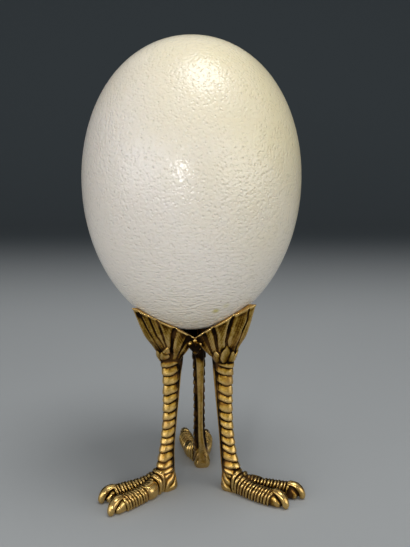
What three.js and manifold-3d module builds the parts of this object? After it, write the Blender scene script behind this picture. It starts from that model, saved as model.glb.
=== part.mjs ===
// An ostrich egg standing blunt end up in a gilt stand of three cast ostrich legs.
// Millimetres, +Z up. The soles lie in the plane z = 0, and the origin is the
// middle of the whole object's footprint. +X is to the right, +Y to the back.

import * as THREE from "three";
import { mergeVertices } from "three/addons/utils/BufferGeometryUtils.js";
import Module from "manifold-3d";

// ---------------------------------------------------------------- dimensions

// The egg: a solid of revolution, a little fuller above its middle than below.
const EGG_HALF_WIDTH = 59.4;
const EGG_HALF_HEIGHT = 79.3;
const EGG_FULLNESS = [0.039, 0.0144, 0.02];
const EGG_AXIS = new THREE.Vector3(-1.6, -0.8, 171.5);
const EGG_LEAN = THREE.MathUtils.degToRad(0.7);
const EGG_SIDES = 32;
const EGG_BANDS = 20;
const SEAT_GAP = 0.35;

// The ring that the three feet stand on, and the cup that their tops form. The
// cup was brazed up a little off the middle of the feet.
const FEET_CENTRE = new THREE.Vector3(1.7, -1.8, 0);
const CUP_CENTRE = new THREE.Vector3(-0.2, -1.7, 0);
const CUP_TIP_RADIUS = 38.4;
const CUP_JUNCTION_RADIUS = 15.6;
const CUP_JUNCTION_Z = 90.2;
const JUNCTION_GAP = 0.35;
const SLIVER = 0.02;
const WALL = 2.0;

// Each leg: its direction from the middle, the turn of its shank and foot, how
// far its heel stands out from the common place, outwards and sideways, and how
// much longer its toes are. Then the tip of its flared top, and the directions
// from the cup's centre to its two junctions.
const LEGS = [
  {
    name: "leg_left",
    place: { azimuth: 208.5, turn: 10.9, heelSet: [-0.9, 0.5], toeGrowth: 0.9 },
    cup: { tipAzimuth: 210, tipZ: 108.1, junctions: [150, 271.5] },
  },
  {
    name: "leg_right",
    place: { azimuth: 328.5, turn: 3.8, heelSet: [0.8, 0.5], toeGrowth: 0 },
    cup: { tipAzimuth: 330, tipZ: 110.0, junctions: [271.5, 390] },
  },
  {
    name: "leg_rear",
    place: { azimuth: 88.5, turn: 6.0, heelSet: [0, -1.5], toeGrowth: 0 },
    cup: { tipAzimuth: 90, tipZ: 109.0, junctions: [30, 150] },
  },
];

// The shank and the heel below it, from the sole up: height, distance of the
// middle from the ring's centre, half depth (radial) and half width.
const TURN_TOP_Z = 66;
const HEEL_TOP_Z = 24;
const SHANK = [
  { z: 0.0, middle: 21.0, halfDepth: 4.2, halfWidth: 3.9 },
  { z: 1.2, middle: 21.2, halfDepth: 4.9, halfWidth: 4.5 },
  { z: 5.0, middle: 21.8, halfDepth: 5.7, halfWidth: 4.5 },
  { z: 9.0, middle: 22.2, halfDepth: 5.9, halfWidth: 4.2 },
  { z: 13.5, middle: 21.4, halfDepth: 5.6, halfWidth: 3.7 },
  { z: 19.4, middle: 20.5, halfDepth: 4.9, halfWidth: 3.3 },
  { z: 26.5, middle: 19.6, halfDepth: 4.4, halfWidth: 3.1 },
  { z: 39.0, middle: 18.2, halfDepth: 4.2, halfWidth: 3.0 },
  { z: 53.0, middle: 17.2, halfDepth: 4.8, halfWidth: 3.1 },
  { z: 68.0, middle: 16.5, halfDepth: 5.7, halfWidth: 3.5 },
  { z: 78.0, middle: 16.5, halfDepth: 6.6, halfWidth: 4.3 },
];
const SCUTE_BOTTOM_Z = 15.0;
const SCUTE_COUNT = 12;
const SCUTE_STEP = 0.45;
const SCUTE_RISE = 2.6;
const FLARE_BASE_Z = 74.0;
const SHANK_TOP_Z = 75.5;
const FRONT_ANGLE = THREE.MathUtils.degToRad(112);
const SHANK_FRONT_STEPS = 8;
const SHANK_BACK_STEPS = 4;

// The flare: the outward swell of each row from the shank's top to the rim, and
// its columns from one edge over the spine (0) to the other edge, each with the
// depth of its groove, or 0 on the crest of a lobe.
const FLARE_SWELL = [0, -0.4, 0.1, 1.3, 1.2, 0.6, 0];
const FLARE_BELLY = new THREE.Vector2(29.5, 12.2);
const FLARE_COLUMNS = [
  { t: -1.0, groove: 0 },
  { t: -0.88, groove: 0 },
  { t: -0.77, groove: 0.9 },
  { t: -0.6, groove: 0 },
  { t: -0.43, groove: 1.0 },
  { t: -0.28, groove: 0 },
  { t: -0.12, groove: 0.5 },
  { t: 0.0, groove: 0 },
  { t: 0.1, groove: 0.5 },
  { t: 0.25, groove: 0 },
  { t: 0.42, groove: 0.8 },
  { t: 0.55, groove: 0 },
  { t: 0.69, groove: 1.1 },
  { t: 0.8, groove: 0 },
  { t: 0.91, groove: 0.6 },
  { t: 1.0, groove: 0 },
];

// The toes: angle from the foot's own direction, reach from the ring to the
// claw's tip, and the number of rings on the top.
const TOES = [
  { angle: 11.3, reach: 42.9, rings: 9, firstRing: 18.5 },
  { angle: -11.3, reach: 39.1, rings: 11, firstRing: 11.0 },
];
const TOE_SIDES = 8;
const TOE_START = 1.5;
const RING_DEPTH = 0.4;
const PAD_SETBACK = 5.2;
const CLAW_SIDES = 6;
const CLAW_LENGTH = 9.5;
const CLAW_TOP_Z = 7.9;

// ------------------------------------------------------------ solid modelling

const wasm = await Module();
wasm.setup();

// The solid bounded by a grid of closed loops, one loop to a row, with the end
// triangles given as index lists into the first and the last loop.
function solidFromLoops(loops, firstCap, lastCap) {
  const count = loops[0].length;
  const positions = loops.flat().flatMap((p) => [p.x, p.y, p.z]);
  const index = [];
  for (let row = 0; row + 1 < loops.length; row++) {
    for (let i = 0; i < count; i++) {
      const next = (i + 1) % count;
      const [a, b] = [row * count + i, row * count + next];
      index.push(a, b, b + count, a, b + count, a + count);
    }
  }
  for (const [a, b, c] of firstCap) index.push(a, c, b);
  const top = (loops.length - 1) * count;
  for (const [a, b, c] of lastCap) index.push(top + a, top + b, top + c);
  return solidFromTriangles(positions, index);
}

function solidFromTriangles(positions, index) {
  const raw = new THREE.BufferGeometry();
  raw.setAttribute("position", new THREE.Float32BufferAttribute(positions, 3));
  raw.setIndex(index);
  return solidFromGeometry(raw);
}

// A manifold solid of a closed geometry, turned to face outwards.
function solidFromGeometry(geometry) {
  const bare = geometry.clone();
  bare.deleteAttribute("normal");
  bare.deleteAttribute("uv");
  const merged = mergeVertices(bare, 1e-4);
  const vertProperties = merged.getAttribute("position").array;
  const triVerts = new Uint32Array(merged.index.array);
  const make = () => new wasm.Manifold(new wasm.Mesh({ numProp: 3, vertProperties, triVerts }));
  const solid = make();
  if (solid.volume() > 0) return solid;
  for (let i = 0; i < triVerts.length; i += 3) {
    [triVerts[i + 1], triVerts[i + 2]] = [triVerts[i + 2], triVerts[i + 1]];
  }
  return make();
}

function geometryFromSolid(solid) {
  const mesh = solid.getMesh();
  const geometry = new THREE.BufferGeometry();
  geometry.setAttribute("position", new THREE.BufferAttribute(mesh.vertProperties, 3));
  geometry.setIndex(new THREE.BufferAttribute(mesh.triVerts, 1));
  geometry.computeVertexNormals();
  return geometry;
}

// Triangles over a convex loop of the given length.
function fanCap(length) {
  return Array.from({ length: length - 2 }, (_, i) => [0, i + 1, i + 2]);
}

// Triangles over a loop that runs out along one side and back along the other.
function stripCap(length) {
  const cap = [];
  for (let i = 0, j = length - 1; i + 1 < j; i++, j--) {
    cap.push([i, i + 1, j]);
    if (i + 1 < j - 1) cap.push([i + 1, j - 1, j]);
  }
  return cap;
}

// --------------------------------------------------------------------- the egg

function eggRadius(height, grown) {
  const u = height / (EGG_HALF_HEIGHT + grown);
  const [c1, c2, c3] = EGG_FULLNESS;
  const round = (EGG_HALF_WIDTH + grown) * Math.sqrt(Math.max(0, 1 - u * u));
  return round * (1 + c1 * u + c2 * u * u + c3 * u ** 3);
}

// The egg about its own middle, made larger all round by the grown distance.
function eggGeometry(grown) {
  const profile = [];
  for (let i = 0; i <= EGG_BANDS; i++) {
    const height = -Math.cos((Math.PI * i) / EGG_BANDS) * (EGG_HALF_HEIGHT + grown);
    const atPole = i === 0 || i === EGG_BANDS;
    profile.push(new THREE.Vector2(atPole ? 0 : eggRadius(height, grown), height));
  }
  const geometry = new THREE.LatheGeometry(profile, EGG_SIDES);
  geometry.rotateX(Math.PI / 2);
  geometry.rotateY(EGG_LEAN);
  geometry.translate(EGG_AXIS.x, EGG_AXIS.y, EGG_AXIS.z);
  return geometry;
}

// ------------------------------------------------------------------- the shank

// The shank's measures at one height, between the two rows of the table.
function shankAt(z) {
  const upper = SHANK.findIndex((row) => row.z >= z);
  if (upper <= 0) return SHANK[0];
  const [low, high] = [SHANK[upper - 1], SHANK[upper]];
  const f = THREE.MathUtils.smootherstep(z, low.z, high.z);
  const mix = (key) => THREE.MathUtils.lerp(low[key], high[key], f);
  return { middle: mix("middle"), halfDepth: mix("halfDepth"), halfWidth: mix("halfWidth") };
}

// A point of the shank's side, at an angle from its front, swelled by a step.
// The shank is turned on its own middle up to its top, and the heel is set over.
function shankPoint(place, angle, z, swell) {
  const { middle, halfDepth, halfWidth } = shankAt(z);
  const across = (halfWidth + swell) * Math.sin(angle);
  const point = new THREE.Vector2((halfDepth + swell) * Math.cos(angle), across);
  const turned = 1 - THREE.MathUtils.smoothstep(z, TURN_TOP_Z, FLARE_BASE_Z);
  point.rotateAround(new THREE.Vector2(), THREE.MathUtils.degToRad(place.turn) * turned);
  const set = 1 - THREE.MathUtils.smoothstep(z, 0, HEEL_TOP_Z);
  return new THREE.Vector3(middle + point.x + place.heelSet[0] * set, point.y + place.heelSet[1] * set, z);
}

// One loop round the shank: over the front from side to side, then back behind.
// The front swells by the given step, and its sides rise towards the back.
function shankLoop(place, z, step, rise) {
  const loop = [];
  for (let i = 0; i <= SHANK_FRONT_STEPS; i++) {
    const t = -1 + (2 * i) / SHANK_FRONT_STEPS;
    loop.push(shankPoint(place, t * FRONT_ANGLE, z + rise * t * t, step * (1 - t * t)));
  }
  for (let i = 1; i < SHANK_BACK_STEPS; i++) {
    const behind = THREE.MathUtils.lerp(FRONT_ANGLE, 2 * Math.PI - FRONT_ANGLE, i / SHANK_BACK_STEPS);
    loop.push(shankPoint(place, behind, z + rise, 0));
  }
  return loop;
}

// The heel and the shank with its overlapping scutes, from the sole up.
function shankSolid(place) {
  const heelRows = SHANK.filter((row) => row.z < SCUTE_BOTTOM_Z - 1);
  const loops = heelRows.map((row) => shankLoop(place, row.z, 0, 0));
  const pitch = (FLARE_BASE_Z - SCUTE_RISE - SCUTE_BOTTOM_Z) / SCUTE_COUNT;
  for (let k = 0; k < SCUTE_COUNT; k++) {
    const z = SCUTE_BOTTOM_Z + k * pitch;
    const rise = SCUTE_RISE * Math.min(1, (k + 1) / 4) * Math.min(1, (SCUTE_COUNT - k) / 3);
    loops.push(shankLoop(place, z, -SCUTE_STEP / 2, rise));
    loops.push(shankLoop(place, z + pitch * 0.25, SCUTE_STEP, rise));
  }
  loops.push(shankLoop(place, SHANK_TOP_Z, 0, 0));
  const cap = fanCap(loops[0].length);
  return solidFromLoops(loops, cap, cap);
}

// ------------------------------------------------------------------- the flare

// The flared top, from the shank's top to the rim. Its corners are the tip and
// the two junctions with the neighbouring legs, in the leg's frame.
function flareSolid(place, tip, junctionLow, junctionHigh) {
  const loops = [];
  const rows = FLARE_SWELL.length - 1;
  for (let row = 0; row <= rows; row++) {
    const w = row / rows;
    const outer = FLARE_COLUMNS.map(({ t, groove }) => {
      const rim = rimPoint(t, tip, t < 0 ? junctionLow : junctionHigh);
      const point = shankPoint(place, t * FRONT_ANGLE, FLARE_BASE_Z, -0.2).lerp(rim, w);
      const outward = new THREE.Vector3(1.2 - Math.abs(t), t, -0.35).normalize();
      const swell = FLARE_SWELL[row] * (1 - 0.6 * t * t);
      const carved = groove * Math.min(1, 2 * w) * (1 - 0.4 * w);
      return point.addScaledVector(outward, swell - carved);
    });
    loops.push([...outer, ...innerSide(place, outer, w)]);
  }
  const cap = stripCap(loops[0].length);
  return solidFromLoops(loops, cap, cap);
}

// A point of the rim: a shallow bow from the tip round the egg to a junction.
function rimPoint(t, tip, junction) {
  const side = Math.sign(junction.y);
  const climb = (FLARE_BELLY.x - junction.x) / (tip.x - junction.x);
  const belly = new THREE.Vector3(
    FLARE_BELLY.x,
    FLARE_BELLY.y * side,
    THREE.MathUtils.lerp(junction.z, tip.z, climb),
  );
  return new THREE.QuadraticBezierCurve3(tip, belly, junction).getPoint(Math.abs(t));
}

// The inside of the flare at one row: the shank's back at the bottom, opening
// into a hollow whose walls are of even thickness at the rim.
function innerSide(place, outer, w) {
  const open = THREE.MathUtils.smoothstep(w, 0.1, 0.6);
  const [low, high] = [outer.at(0), outer.at(-1)];
  const inside = FLARE_COLUMNS.map(({ t }, i) => {
    const back = low.clone().lerp(high, (t + 1) / 2);
    const behind = Math.PI - (Math.PI - FRONT_ANGLE) * 0.9 * t;
    back.x += (shankPoint(place, behind, FLARE_BASE_Z, -0.2).x - low.x) * (1 - w);
    const inward = new THREE.Vector3(-1.35 + Math.abs(t), -t, 0.1).normalize();
    const spineWall = WALL * (1 + 0.9 * (1 - Math.abs(t)) ** 4);
    const wall = outer[i].clone().addScaledVector(inward, spineWall);
    return back.lerp(wall, open);
  });
  return inside.reverse();
}

// -------------------------------------------------------------------- the toes

// Loops along a path of stations, each with a centre, a half width and a half
// height, upright across the path's own direction in plan.
function crossLoops(stations, sides) {
  return stations.map(({ x, z, halfWidth, halfHeight, tilt = 0 }) => {
    const loop = [];
    for (let i = 0; i < sides; i++) {
      const angle = (2 * Math.PI * i) / sides;
      const up = halfHeight * Math.sin(angle);
      const across = halfWidth * Math.cos(angle);
      loop.push(new THREE.Vector3(x - up * Math.sin(tilt), across, z + up * Math.cos(tilt)));
    }
    return loop;
  });
}

// A toe from inside the ankle to its pad, along +X, with its rings.
function toeStations({ reach, rings, firstRing }) {
  const end = reach - PAD_SETBACK;
  const top = (x) => THREE.MathUtils.lerp(12.2, 8.3, THREE.MathUtils.smoothstep(x, 2, 17));
  const station = (x, scale) => {
    const half = (top(x) * scale) / 2;
    return { x, z: top(x) / 2 - 0.25, halfWidth: 4.1 * scale, halfHeight: half };
  };
  const stations = [station(TOE_START, 0.8), station(6, 1), station(firstRing - 2.5, 1.04)];
  const pitch = (end - 4.2 - firstRing) / rings;
  for (let k = 0; k < rings; k++) {
    const x = firstRing + k * pitch;
    stations.push(station(x, 1 - RING_DEPTH / 4), station(x + pitch / 2, 1));
  }
  stations.push(station(end - 3.4, 0.97), station(end - 1.2, 0.86), station(end, 0.5));
  return stations;
}

// A claw: a tapering hook from the top of the toe's end down to the ground.
function clawStations({ reach }) {
  const stations = [];
  const steps = 7;
  for (let i = 0; i <= steps; i++) {
    const f = i / steps;
    const turn = f * Math.PI * 0.5;
    const thick = THREE.MathUtils.lerp(2.1, 0.55, f ** 1.4);
    stations.push({
      x: reach - CLAW_LENGTH + (CLAW_LENGTH - 0.8) * Math.sin(turn),
      z: 0.75 + (CLAW_TOP_Z - 0.75) * Math.cos(turn),
      halfWidth: thick,
      halfHeight: thick,
      tilt: -turn * 0.95,
    });
  }
  return stations;
}

function toeSolid(toe) {
  const flesh = crossLoops(toeStations(toe), TOE_SIDES);
  const claw = crossLoops(clawStations(toe), CLAW_SIDES);
  const [fleshCap, clawCap] = [fanCap(TOE_SIDES), fanCap(CLAW_SIDES)];
  return solidFromLoops(flesh, fleshCap, fleshCap).add(solidFromLoops(claw, clawCap, clawCap));
}

// --------------------------------------------------------------------- the leg

// One whole casting in its own frame: +X outwards from the ring's centre. The
// ends of its wings are cut back from the planes that it shares with the others.
function legSolid({ place, cup }) {
  const turnBack = -THREE.MathUtils.degToRad(place.azimuth);
  const up = new THREE.Vector3(0, 0, 1);
  const cupMiddle = CUP_CENTRE.clone().sub(FEET_CENTRE).applyAxisAngle(up, turnBack);
  const direction = (azimuth) => {
    const angle = THREE.MathUtils.degToRad(azimuth) + turnBack;
    return new THREE.Vector3(Math.cos(angle), Math.sin(angle), 0);
  };
  const cupPoint = (azimuth, radius, z) => {
    return cupMiddle.clone().addScaledVector(direction(azimuth), radius).setZ(z);
  };
  const tip = cupPoint(cup.tipAzimuth, CUP_TIP_RADIUS, cup.tipZ);
  const [lowAzimuth, highAzimuth] = cup.junctions;
  const low = cupPoint(lowAzimuth - 2, CUP_JUNCTION_RADIUS, CUP_JUNCTION_Z);
  const high = cupPoint(highAzimuth + 2, CUP_JUNCTION_RADIUS, CUP_JUNCTION_Z);
  let solid = flareSolid(place, tip, low, high);
  for (const inward of [direction(lowAzimuth + 90), direction(highAzimuth - 90)]) {
    solid = solid.trimByPlane(inward.toArray(), inward.dot(cupMiddle) + JUNCTION_GAP / 2);
  }
  solid = solid.add(shankSolid(place));
  const ankle = shankAt(SHANK[0].z).middle + 1.2;
  for (const toe of TOES) {
    const grown = { ...toe, reach: toe.reach + place.toeGrowth };
    solid = solid.add(toeSolid(grown).rotate([0, 0, toe.angle + place.turn]).translate([ankle, 0, 0]));
  }
  return solid;
}

// ------------------------------------------------------------------- assembly

const brass = () => new THREE.MeshStandardMaterial({ color: 0xa98544, metalness: 1, roughness: 0.35 });
const shell = () => new THREE.MeshStandardMaterial({ color: 0xe6e0cf, metalness: 0, roughness: 0.38 });

const model = new THREE.Group();
model.name = "ostrich_egg_on_stand";

function addPart(name, geometry, material) {
  const mesh = new THREE.Mesh(geometry, material);
  mesh.name = name;
  model.add(mesh);
}

addPart("egg", geometryFromSolid(solidFromGeometry(eggGeometry(0))), shell());

const seat = solidFromGeometry(eggGeometry(SEAT_GAP));
const belowGround = solidFromGeometry(new THREE.BoxGeometry(300, 300, 20).translate(0, 0, -10));
for (const leg of LEGS) {
  const placed = legSolid(leg).rotate([0, 0, leg.place.azimuth]).translate(FEET_CENTRE.toArray());
  const seated = placed.subtract(belowGround).subtract(seat).simplify(SLIVER);
  addPart(leg.name, geometryFromSolid(seated), brass());
}

export default model;
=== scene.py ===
"""An ostrich egg in a gilt stand of three cast bird's legs, dressed over its frame."""

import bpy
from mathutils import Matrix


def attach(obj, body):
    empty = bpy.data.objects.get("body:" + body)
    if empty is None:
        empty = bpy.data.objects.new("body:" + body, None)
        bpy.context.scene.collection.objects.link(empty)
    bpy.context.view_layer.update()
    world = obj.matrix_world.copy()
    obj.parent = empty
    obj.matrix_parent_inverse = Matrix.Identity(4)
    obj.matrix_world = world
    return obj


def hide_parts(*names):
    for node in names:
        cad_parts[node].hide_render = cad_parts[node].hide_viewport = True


bl_info = {
    "name": "Ostrich egg on a leg stand",
    "version": (1, 0, 0),
    "blender": (4, 5, 0),
    "location": "3D View > Sidebar > Egg stand",
    "description": "Makes the egg, the three cast legs, their brazed joints and a studio",
    "category": "Add Mesh",
}

import math
from collections import namedtuple

import bpy
import numpy as np
from mathutils import Vector

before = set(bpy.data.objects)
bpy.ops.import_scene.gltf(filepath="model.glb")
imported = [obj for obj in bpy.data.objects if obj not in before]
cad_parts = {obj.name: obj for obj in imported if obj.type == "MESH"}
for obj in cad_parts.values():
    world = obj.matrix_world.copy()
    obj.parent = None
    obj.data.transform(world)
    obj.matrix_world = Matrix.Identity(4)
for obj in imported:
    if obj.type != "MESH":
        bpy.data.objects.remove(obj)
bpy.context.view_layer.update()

MM = 0.001

# The egg's middle, lean, half sizes and fullness, how far its shell keeps inside the
# solid's side, and how far the stand keeps off it, in mm.
EGG_MIDDLE = (-1.6, -0.8, 171.5)
EGG_LEAN = math.radians(0.7)
EGG_HALF_WIDTH = 59.4
EGG_HALF_HEIGHT = 79.3
EGG_FULLNESS = (0.039, 0.0144, 0.02)
SHELL_INSET = 0.05
SEAT_GAP = 0.3

# The ring of feet, and the cup that the flares make, in mm.
FEET_CENTRE = (1.7, -1.8)
CUP_CENTRE = (-0.2, -1.7)
CUP_TIP_RADIUS = 38.4
CUP_JUNCTION_RADIUS = 15.6
CUP_JUNCTION_Z = 90.2
JUNCTION_GAP = 0.3
WALL = 2.0

# The directions in which two flares meet, and each leg's direction from the middle,
# the turn of its shank and foot, its heel's shift outwards and sideways, the growth
# of its toes, the direction and height of its flare's tip, its two junctions, and
# the twist of its plates round the shank. Degrees and mm.
RIGHT_BACK, LEFT_BACK, FRONT = JUNCTIONS = (30.0, 150.0, 271.5)
Leg = namedtuple("Leg", "azimuth turn shift growth flare tip_z junctions twist")
LEGS = {
    "leg_left": Leg(208.5, 10.9, (-0.9, 0.5), 0.9, 210.0, 108.1, (LEFT_BACK, FRONT), 0.0),
    "leg_right": Leg(328.5, 3.8, (0.8, 0.5), 0.0, 330.0, 110.0, (FRONT, RIGHT_BACK + 360), 0.0),
    "leg_rear": Leg(88.5, 6.0, (0.0, -1.5), 0.0, 90.0, 109.0, (RIGHT_BACK, LEFT_BACK), 11.0),
}

# Shank and heel from the sole up: height, middle, half depth and half width.
SHANK = np.array(
    [
        (0.0, 21.3, 4.9, 4.3),
        (1.2, 21.4, 5.5, 4.8),
        (5.0, 21.8, 5.9, 4.8),
        (9.0, 22.0, 5.9, 4.4),
        (13.5, 21.4, 5.5, 3.8),
        (19.4, 20.5, 4.8, 3.3),
        (26.5, 19.6, 4.3, 3.0),
        (39.0, 18.2, 4.1, 2.9),
        (53.0, 17.2, 4.7, 3.0),
        (68.0, 16.5, 5.6, 3.4),
        (78.0, 16.5, 6.5, 4.2),
    ]
)
ANKLE = SHANK[0, 1] + 1.2
PLATE_GROOVE = 0.5
FLARE_BASE_Z = 74.0
FRONT_ANGLE = math.radians(112)
TURN_TOP_Z = 66.0
HEEL_TOP_Z = 24.0

# Heights of the lower edges of the shank's overlapping plates, at the front.
PLATE_EDGES = [8.2, 10.8, 13.8, 17.5, 22.6, 27.2, 31.4, 36.4]
PLATE_EDGES += [41.2, 46.0, 51.5, 56.2, 62.0, 67.6, 72.4, 76.5]

# Outward swell of the flare from the shank's top to its rim.
SWELL = ((0.0, 0.0), (0.17, -0.4), (0.33, 0.1), (0.5, 1.3), (0.67, 1.2), (0.83, 0.6), (1.0, 0.0))
BELLY = (29.5, 12.2)

# The grooves between the flare's feathers: depth and width in mm, and the way each
# runs as pairs of height (0 at the shank, 1 at the rim) and place across (-1 to 1).
GROOVES = (
    (0.55, 0.55, ((0.30, 0.29), (0.45, 0.28), (0.56, 0.245), (0.72, 0.17), (0.87, 0.13), (1.0, 0.11))),
    (0.55, 0.50, ((0.30, 0.47), (0.50, 0.45), (0.67, 0.345), (0.87, 0.295), (1.0, 0.28))),
    (0.85, 0.60, ((0.25, 0.56), (0.48, 0.525), (0.77, 0.465), (0.94, 0.42), (1.0, 0.41))),
    (1.75, 1.25, ((0.0, 0.62), (0.225, 0.65), (0.435, 0.645), (0.65, 0.66), (0.89, 0.685), (1.0, 0.70))),
    (0.85, 0.65, ((0.0, 0.82), (0.325, 0.85), (0.64, 0.875), (0.90, 0.905), (1.0, 0.92))),
    (
        0.75,
        0.55,
        ((0.20, -0.10), (0.35, -0.17), (0.475, -0.19), (0.645, -0.165), (0.78, -0.105), (1.0, -0.14)),
    ),
    (
        1.75,
        1.15,
        ((0.15, -0.40), (0.345, -0.50), (0.545, -0.525), (0.655, -0.495), (0.80, -0.465), (1.0, -0.41)),
    ),
    (1.45, 1.0, ((0.10, -0.70), (0.35, -0.75), (0.51, -0.745), (0.755, -0.73), (1.0, -0.745))),
    (0.80, 0.70, ((0.0, -0.90), (0.28, -0.905), (0.63, -0.88), (1.0, -0.87))),
)

# The almond scales and knobs at the foot of the flare: place across, height, half
# length, half width, how high they stand, and their slant in degrees.
SCALES = (
    (-0.80, 0.20, 4.6, 2.5, 1.0, 5.0),
    (-0.49, 0.24, 6.2, 2.9, 1.2, -3.0),
    (-0.20, 0.15, 3.8, 2.2, 0.9, 8.0),
    (0.08, 0.17, 3.4, 2.1, 0.8, -6.0),
    (0.34, 0.19, 2.8, 2.7, 1.1, 14.0),
    (0.50, 0.33, 3.0, 1.9, 1.0, -30.0),
)

# The toes: angle from the foot's direction, reach of the claw, edges of the plates
# on the instep, the ring pitch after them and how far the joint's plate bulges out
# on the toe's outer side.
TOES = (
    (11.3, 42.9, (-5.0, -1.0, 3.0, 6.1, 9.2), 1.95, 1.0),
    (-11.3, 39.1, (-5.0, -1.0, 3.0, 6.2), 1.95, 0.0),
)
PAD_SETBACK = 4.5
PAD_LENGTH = 4.6
JOINT_END = 17.2

# The lumps of braze at a junction: outwards, sideways, up and radius, in mm.
BRAZE = (
    (0.3, 0.1, -1.0, 1.1),
    (-0.3, -2.2, -3.0, 1.7),
    (-0.2, 0.4, -3.1, 1.9),
    (-0.2, 2.5, -3.4, 1.5),
    (-1.2, -1.4, -5.2, 2.1),
    (-1.2, 1.4, -5.6, 2.1),
    (-0.9, 0.2, -7.4, 1.8),
)

# How the castings age: the smoothing steps that find their hollows, the depth of a
# full hollow after one step in mm, and how bright a ridge may be rubbed.
HOLLOW_STEPS = (8, 24, 60)
HOLLOW_DEPTH = 0.036
BRIGHTEST_RIDGE = -0.4

# Stains on the shell: place and radius in mm, colour and strength.
STAINS = (
    ((11.4, -34.0, 109.4), 3.2, (0.60, 0.51, 0.13), 0.85),
    ((16.6, -34.2, 112.1), 3.0, (0.68, 0.60, 0.25), 0.45),
    ((1.0, -28.3, 102.1), 2.4, (0.64, 0.55, 0.24), 0.45),
    ((13.9, -38.6, 115.4), 0.8, (0.28, 0.18, 0.08), 0.95),
)

# Blots of old dirt on the castings: place, radius in mm and strength.
GRIME_SPOTS = (
    ((-30.2, -22.2, 104.0), 1.6, 0.9),
    ((33.5, -18.6, 100.5), 1.5, 0.35),
)


# ---------------------------------------------------------------- node trees


class Tree:
    """A node tree being built, with helpers that feed sockets with links or values."""

    def __init__(self, tree):
        self.tree = tree

    def add(self, kind, inputs=(), **settings):
        node = self.tree.nodes.new(kind)
        node.location = (220 * (len(self.tree.nodes) % 9), -260 * (len(self.tree.nodes) // 9))
        for key, value in settings.items():
            setattr(node, key, value)
        for key, value in dict(inputs).items():
            self.feed(node.inputs[key], value)
        return node

    def feed(self, socket, value):
        if isinstance(value, bpy.types.NodeSocket):
            self.tree.links.new(value, socket)
        else:
            socket.default_value = value

    def math(self, operation, *values, clamp=False):
        kind = "ShaderNodeMath"
        node = self.add(kind, enumerate(values), operation=operation, use_clamp=clamp)
        return node.outputs[0]

    def vector(self, operation, *values):
        node = self.add("ShaderNodeVectorMath", enumerate(values), operation=operation)
        return node.outputs[0]

    def scaled(self, vector, amount):
        node = self.add("ShaderNodeVectorMath", {"Vector": vector, "Scale": amount}, operation="SCALE")
        return node.outputs[0]

    def remap(self, value, low, high, to_low=0.0, to_high=1.0, kind="LINEAR"):
        """A value carried from one range to another, and kept within it."""
        inputs = {"Value": value, "From Min": low, "From Max": high, "To Min": to_low, "To Max": to_high}
        return self.add("ShaderNodeMapRange", inputs, interpolation_type=kind).outputs["Result"]

    def noise(self, place, scale, detail=2.0, rough=0.5):
        inputs = {"Vector": place, "Scale": scale, "Detail": detail, "Roughness": rough}
        return self.add("ShaderNodeTexNoise", inputs).outputs["Fac"]

    def split(self, vector):
        return self.add("ShaderNodeSeparateXYZ", {0: vector}).outputs

    def pushed(self, geometry, amount):
        """A geometry whose points are moved along their normals."""
        normal = self.add("GeometryNodeInputNormal").outputs[0]
        inputs = {"Geometry": geometry, "Offset": self.scaled(normal, amount)}
        return self.add("GeometryNodeSetPosition", inputs).outputs[0]

    def attribute(self, name):
        node = self.add("GeometryNodeInputNamedAttribute", {"Name": name}, data_type="FLOAT")
        return node.outputs["Attribute"]

    def curve(self, value, points):
        node = self.add("ShaderNodeFloatCurve", {"Value": value})
        line = node.mapping.curves[0]
        while len(line.points) < len(points):
            line.points.new(0.5, 0.5)
        for point, place in zip(line.points, points):
            point.location = place
        node.mapping.update()
        return node.outputs["Value"]


def node_group(name, sockets):
    """A geometry tree with a geometry output and the named inputs."""
    group = bpy.data.node_groups.new(name, "GeometryNodeTree")
    group.interface.new_socket("Geometry", in_out="OUTPUT", socket_type="NodeSocketGeometry")
    for socket_name, kind, default in sockets:
        socket = group.interface.new_socket(socket_name, in_out="INPUT", socket_type="NodeSocket" + kind)
        if default is not None:
            socket.default_value = default
    tree = Tree(group)
    return tree, tree.add("NodeGroupInput").outputs


def close_tree(tree, geometry, material):
    real = tree.add("GeometryNodeRealizeInstances", {"Geometry": geometry}).outputs[0]
    painted = tree.add("GeometryNodeSetMaterial", {"Geometry": real, "Material": material}).outputs[0]
    tree.add("NodeGroupOutput", {"Geometry": painted})
    return tree.tree


def run_tree(mesh, group, values):
    """The mesh that a geometry tree makes of another, with its inputs set by name."""
    carrier = add_object("carrier", mesh)
    modifier = carrier.modifiers.new(group.name, "NODES")
    modifier.node_group = group
    for item in group.interface.items_tree:
        if item.in_out == "INPUT" and item.name in values:
            modifier[item.identifier] = values[item.name]
    made = plain_mesh(carrier)
    carrier.modifiers.remove(modifier)
    bpy.data.objects.remove(carrier)
    bpy.data.meshes.remove(mesh)
    return made


def plain_mesh(thing):
    bpy.context.view_layer.update()
    graph = bpy.context.evaluated_depsgraph_get()
    return bpy.data.meshes.new_from_object(thing.evaluated_get(graph))


# ---------------------------------------------------------------- mesh arrays


def mesh_from(name, points, faces):
    """A mesh of points in mm and faces of three or four corners each."""
    mesh = bpy.data.meshes.new(name)
    sizes = np.concatenate([np.full(len(block), block.shape[1]) for block in faces])
    corners = np.concatenate([block.ravel() for block in faces])
    mesh.vertices.add(len(points))
    mesh.vertices.foreach_set("co", (np.asarray(points) * MM).astype(np.float32).ravel())
    mesh.loops.add(len(corners))
    mesh.loops.foreach_set("vertex_index", corners.astype(np.int32))
    mesh.polygons.add(len(sizes))
    starts = np.concatenate([[0], np.cumsum(sizes)[:-1]])
    mesh.polygons.foreach_set("loop_start", starts.astype(np.int32))
    mesh.update(calc_edges=True)
    return mesh


def read(things, key, width=1, kind=np.int32):
    """One value, or some, of each vertex, edge, corner or face."""
    values = np.empty(len(things) * width, kind)
    things.foreach_get(key, values)
    return values.reshape(-1, width) if width > 1 else values


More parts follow.
